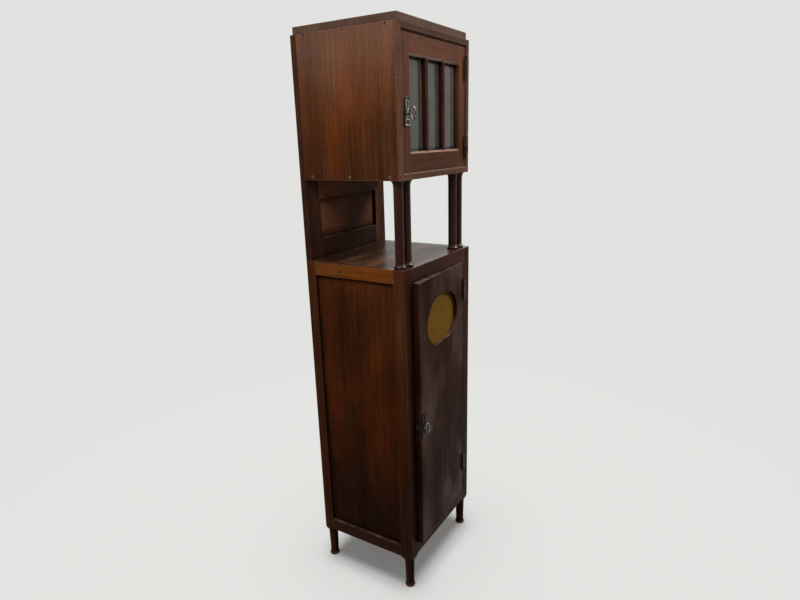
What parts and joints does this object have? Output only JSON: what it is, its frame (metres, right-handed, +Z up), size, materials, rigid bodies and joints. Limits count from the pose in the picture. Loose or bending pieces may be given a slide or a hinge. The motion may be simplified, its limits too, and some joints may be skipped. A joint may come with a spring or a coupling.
{
  "type": "tall cabinet",
  "caption": "Tall narrow wooden cabinet on turned legs with a windowed lower door, an open columned niche and a glazed upper box, both doors with lock and key.",
  "frame": {"origin": "on the floor, midway across the width and midway from the foremost point to the back", "axes": "+Z up, +X to the right seen from the front, -Y towards the front"},
  "size_m": [0.436, 0.4108, 1.8],
  "materials": {
    "frame_wood": "dark stained hardwood, worn wax polish",
    "panel_wood": "reddish brown stained hardwood, satin",
    "door_wood": "dark stained hardwood, polished",
    "inner_wood": "plain unpolished wood",
    "pane_glass": "clear bevelled glass",
    "woven_mesh": "fine aged woven wire",
    "cast_pewter": "aged cast plate with bright edges",
    "hinge_metal": "dark aged steel",
    "lock_steel": "plain steel"
  },
  "bodies": {
    "carcase": {"front_left_post": "frame_wood", "front_right_post": "frame_wood", "rear_left_post": "frame_wood", "rear_right_post": "frame_wood", "left_top_rail": "frame_wood", "right_top_rail": "frame_wood", "left_bottom_rail": "frame_wood", "right_bottom_rail": "frame_wood", "left_side_panel": "panel_wood", "right_side_panel": "panel_wood", "front_top_rail": "frame_wood", "front_bottom_rail": "frame_wood", "rear_top_rail": "frame_wood", "rear_bottom_rail": "frame_wood", "lower_back_panel": "inner_wood", "floor_board": "inner_wood", "counter_top": "panel_wood", "lower_shelf": "inner_wood", "shelf_cleats": "inner_wood", "left_back_stile": "frame_wood", "right_back_stile": "frame_wood", "niche_bottom_rail": "frame_wood", "niche_top_rail": "frame_wood", "back_top_rail": "frame_wood", "niche_panel": "panel_wood", "upper_back_panel": "inner_wood", "left_outer_column": "frame_wood", "left_inner_column": "frame_wood", "right_inner_column": "frame_wood", "right_outer_column": "frame_wood", "upper_left_side": "panel_wood", "upper_right_side": "panel_wood", "upper_bottom_board": "inner_wood", "upper_top_board": "inner_wood", "cap_board": "frame_wood", "facing_strips": "frame_wood", "upper_shelf": "inner_wood", "door_stops": "inner_wood", "hinge_frame_leaves": "hinge_metal", "box_screws": "lock_steel"},
    "upper_door": {"upper_door_left_stile": "door_wood", "upper_door_right_stile": "door_wood", "upper_door_top_rail": "door_wood", "upper_door_bottom_rail": "door_wood", "upper_door_glazing_bars": "door_wood", "upper_door_panes": "pane_glass", "upper_door_glass_beads": "door_wood", "upper_door_hinge_leaves": "hinge_metal", "upper_lock_case": "lock_steel", "upper_lock_plate": "cast_pewter"},
    "upper_key": {"upper_key": "cast_pewter"},
    "upper_bolt": {"upper_lock_bolt": "lock_steel"},
    "lower_door": {"lower_door_board": "door_wood", "lower_door_mesh": "woven_mesh", "lower_door_battens": "door_wood", "lower_door_hinge_leaves": "hinge_metal", "lower_lock_case": "lock_steel", "lower_lock_plate": "cast_pewter"},
    "lower_key": {"lower_key": "cast_pewter"},
    "lower_bolt": {"lower_lock_bolt": "lock_steel"}
  },
  "joints": [
    {"name": "upper_door_hinge", "type": "hinge", "parent": "carcase", "child": "upper_door", "pos_m": [0.19675, -0.16143, 1.575], "axis": [0, 0, 1], "range_deg": [0, 170]},
    {"name": "upper_key_turn", "type": "hinge", "parent": "upper_door", "child": "upper_key", "pos_m": [-0.172, -0.15263, 1.551], "axis": [0, 1, 0], "range_deg": [0, 180]},
    {"name": "upper_bolt_throw", "type": "slide", "parent": "upper_door", "child": "upper_bolt", "axis": [-1, 0, 0], "range_m": [0, 0.008]},
    {"name": "lower_door_hinge", "type": "hinge", "parent": "carcase", "child": "lower_door", "pos_m": [0.17475, -0.16643, 0.62], "axis": [0, 0, 1], "range_deg": [-3.4, 166.6]},
    {"name": "lower_key_turn", "type": "hinge", "parent": "lower_door", "child": "lower_key", "pos_m": [-0.1582, -0.18141, 0.6], "axis": [-0.0593, 0.9982, 0], "range_deg": [0, 180]},
    {"name": "lower_bolt_throw", "type": "slide", "parent": "lower_door", "child": "lower_bolt", "axis": [-0.9982, -0.0593, 0], "range_m": [0, 0.008]}
  ],
  "couplings": [
    {"joint": "upper_bolt_throw", "follows": "upper_key_turn", "m_per_rad": 0.0025464},
    {"joint": "lower_bolt_throw", "follows": "lower_key_turn", "m_per_rad": 0.0025464}
  ]
}
